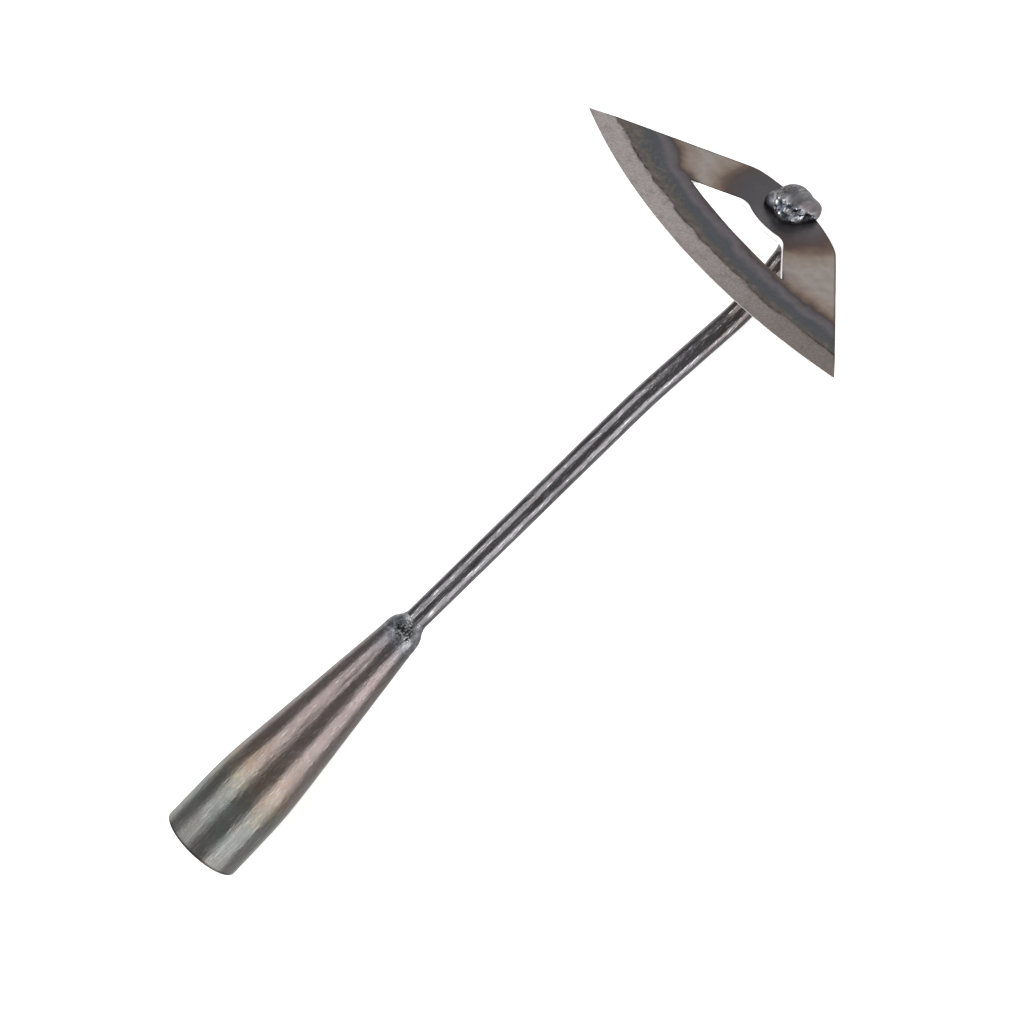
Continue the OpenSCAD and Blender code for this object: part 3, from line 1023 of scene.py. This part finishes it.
def nugget_material():
    p = Paint("nugget_bright_weld_metal")
    raised, height, across = p.mark("raised"), p.mark("height"), p.mark("across")
    patches = p.between(p.noise(2.4, 3, (3, 1, 3)), 0.35, 0.65)
    smooth = p.mix(patches, as_seen(124, 124, 128), as_seen(150, 150, 152))
    streak = p.noise(0.55, 3, (7, 1, 7))
    smooth = p.mix(p.between(streak, 0.50, 0.62, 0.0, 0.55), smooth, as_seen(96, 96, 100))
    glint = p.noise(0.6, 3, (6, 1, 6))
    smooth = p.mix(p.between(glint, 0.58, 0.66, 0.0, 0.5), smooth, as_seen(176, 177, 180))
    smooth = p.mix(p.between(across, -1.5, -4.5, 0.0, 0.6), smooth, as_seen(146, 136, 139))
    # Brownish pits above the molten side's +Y end
    pits = p.times(p.between(p.noise(0.9, 3), 0.48, 0.56), p.between(across, 0.5, 3.0))
    smooth = p.mix(p.times(pits, 0.8), smooth, as_seen(76, 71, 62))
    # Bright beads of metal over a dark blue ground, with painted glints on them that are brightest at the +Y
    # end
    shine = p.between(across, 1.5, 5.5)
    bead = p.mix(shine, as_seen(186, 189, 194), as_seen(252, 252, 252))
    patchy = p.math("ADD", raised, p.between(p.noise(3.0, 2), 0.3, 0.7, -0.4, 0.4))
    shone = p.math("ADD", patchy, p.times(shine, 0.45))
    bright = p.mix(p.between(shone, 0.1, 0.7), as_seen(78, 84, 94), bead)
    grime = p.between(p.noise(0.8, 3), 0.56, 0.66, 0.0, 0.7)
    bright = p.mix(grime, bright, as_seen(52, 54, 58))
    molten = p.mark("molten")
    colour = p.mix(molten, smooth, bright)
    low_lobe = p.mix(p.between(height, 0.8, 3.2), as_seen(74, 74, 84), as_seen(126, 126, 134))
    colour = p.mix(p.times(p.mark("lobe"), 0.9), colour, low_lobe)
    # Painted shade inside the blow hole, near black
    colour = p.mix(p.mark("hole"), colour, as_seen(26, 24, 26))
    # Painted contact shadow round the nugget's foot, where it meets the plate
    foot = p.between(height, 1.5, 0.5)
    colour = p.mix(p.times(foot, 0.85), colour, as_seen(46, 45, 50))
    rough = p.between(molten, 0.0, 1.0, 0.46, 0.24)
    return p.steel(colour, rough, p.bump(p.noise(0.45, 3), 0.05))


# ---------------------------------------------------------------- floor and lights


def make_floor():
    """A wide pale floor just under the head's lowest point."""
    level = cad_box[0][2]
    size = 4.0
    mesh = bpy.data.meshes.new("floor")
    corners = [(-size, -size, level), (size, -size, level), (size, size, level), (-size, size, level)]
    mesh.from_pydata(corners, [], [(0, 1, 2, 3)])
    floor = bpy.data.objects.new("floor", mesh)
    bpy.context.scene.collection.objects.link(floor)
    p = Paint("floor_pale")
    inputs = {"Base Color": (0.86, 0.86, 0.86, 1), "Roughness": 0.8, "Emission Color": (1, 1, 1, 1)}
    shader = p.node("ShaderNodeBsdfPrincipled", inputs)
    shader.inputs["Specular IOR Level"].default_value = 0.0
    shader.inputs["Emission Strength"].default_value = 0.75
    p.tree.links.new(shader.outputs[0], p.out.inputs["Surface"])
    mesh.materials.append(p.material)
    # What shiny steel shows of the floor comes from the studio's own shading below the horizon
    floor.visible_glossy = False


def soft_box(name, centre, width, length, brightness, tilt=0.0):
    """A soft light aimed at the origin, its length along X. brightness is how it looks in a mirror."""
    data = bpy.data.lights.new(name, "AREA")
    data.shape = "RECTANGLE"
    data.size = length
    data.size_y = width
    data.energy = brightness * math.pi * width * length
    light = bpy.data.objects.new(name, data)
    toward = -Vector(centre).normalized()
    side = Vector((1, 0, 0))
    side = (side - toward * side.dot(toward)).normalized()
    side = Matrix.Rotation(math.radians(tilt), 3, toward) @ side
    turn = Matrix((side, (-toward).cross(side), -toward)).transposed().to_4x4()
    light.matrix_world = Matrix.Translation(Vector(centre)) @ turn
    light.visible_camera = False
    bpy.context.scene.collection.objects.link(light)


def polar(angle, distance):
    """A point of the YZ plane, at an angle in degrees from +Y towards +Z."""
    return (0.0, distance * math.cos(math.radians(angle)), distance * math.sin(math.radians(angle)))


def make_world():
    """An even dim room. Below the horizon is a bright floor, darker close to the head, in its shade."""
    world = bpy.data.worlds.new("studio")
    world.use_nodes = True
    tree = world.node_tree
    tree.nodes.clear()

    def step(*values):
        """A soft step of a value between two limits, from one level to another."""
        made = tree.nodes.new("ShaderNodeMapRange")
        made.interpolation_type = "SMOOTHSTEP"
        for key, v in zip(("Value", "From Min", "From Max", "To Min", "To Max"), values):
            if isinstance(v, bpy.types.NodeSocket):
                tree.links.new(v, made.inputs[key])
            else:
                made.inputs[key].default_value = v
        return made.outputs[0]

    direction = tree.nodes.new("ShaderNodeTexCoord").outputs["Generated"]
    parts = tree.nodes.new("ShaderNodeSeparateXYZ")
    tree.links.new(direction, parts.inputs[0])
    x, y, z = parts.outputs
    far_floor = step(y, -0.3, 0.3, step(x, 0.03, 0.15, 2.5, 0.9), 1.3)
    floor = step(z, -0.50, -0.38, 0.70, far_floor)
    glow = step(x, -0.65, -0.45, 0.25, 0.0)
    raised = tree.nodes.new("ShaderNodeMath")
    raised.operation = "SUBTRACT"
    tree.links.new(z, raised.inputs[0])
    tree.links.new(glow, raised.inputs[1])
    level = step(raised.outputs[0], -0.03, 0.03, floor, 0.42)
    background = tree.nodes.new("ShaderNodeBackground")
    tree.links.new(level, background.inputs["Strength"])
    out = tree.nodes.new("ShaderNodeOutputWorld")
    tree.links.new(background.outputs[0], out.inputs["Surface"])
    background.inputs["Color"].default_value = (1, 1, 1, 1)
    bpy.context.scene.world = world


def make_studio():
    make_world()
    bpy.context.scene.view_settings.view_transform = "Standard"
    soft_box("light_high", polar(75, 0.9), 0.76, 0.69, 2.2)
    soft_box("light_low", polar(173, 1.2), 0.44, 1.1, 2.8, 26.0)


# ---------------------------------------------------------------- assembly


def dress(piece, material, node):
    """Gives a piece its material, hangs it under the root body and hides the CAD node it stands for."""
    piece.data.materials.append(material)
    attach(piece, "root")
    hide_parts(node)


make_floor()
make_studio()
dress(make_socket(), socket_material(), "socket")
dress(make_bar(), bar_material(), "shank")
dress(make_blade(), blade_material(), "blade")
dress(make_socket_weld(), socket_weld_material(), "socket_weld")
dress(make_hub_weld(), nugget_material(), "hub_weld")
back_bead = weld_material("weld_back_bead", as_seen(56, 55, 58), as_seen(118, 117, 120))
dress(make_back_weld(), back_bead, "hub_back_weld")
